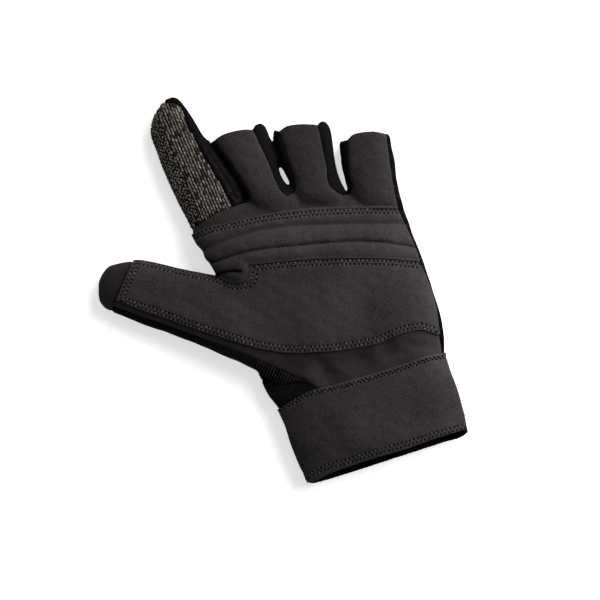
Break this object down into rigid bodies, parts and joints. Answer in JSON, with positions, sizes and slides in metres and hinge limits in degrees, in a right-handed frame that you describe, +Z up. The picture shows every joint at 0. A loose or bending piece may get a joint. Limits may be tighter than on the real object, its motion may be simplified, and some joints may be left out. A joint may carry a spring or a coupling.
{
  "type": "glove",
  "caption": "Left-hand casting glove lying palm up: suede palm patch, padded knuckle band, knit casting finger, closed thumb, cut-off fingers, broad suede cuff",
  "frame": {"origin": "the middle of the glove's bounding box in plan, on the floor that it lies on", "axes": "+Z up from the floor through the palm, +Y towards the fingers, -X towards the thumb"},
  "size_m": [0.184, 0.1926, 0.026],
  "materials": {
    "suede": "matt",
    "smooth_cloth": "matt",
    "marl_knit": "matt",
    "rib_knit": "matt",
    "stretch_cloth": "matt"
  },
  "bodies": {
    "root": {"finger_panel": "suede", "knuckle_pad": "suede", "palm_patch": "suede", "cuff_band": "suede", "heel_panel": "smooth_cloth", "thumb_tip": "smooth_cloth", "index_knit": "marl_knit", "index_back": "rib_knit", "thumb_back": "rib_knit", "back_panel": "rib_knit", "fourchette_index_middle": "stretch_cloth", "fourchette_middle_ring": "stretch_cloth", "fourchette_ring_little": "stretch_cloth", "cuff_lining": "stretch_cloth"}
  },
  "joints": []
}
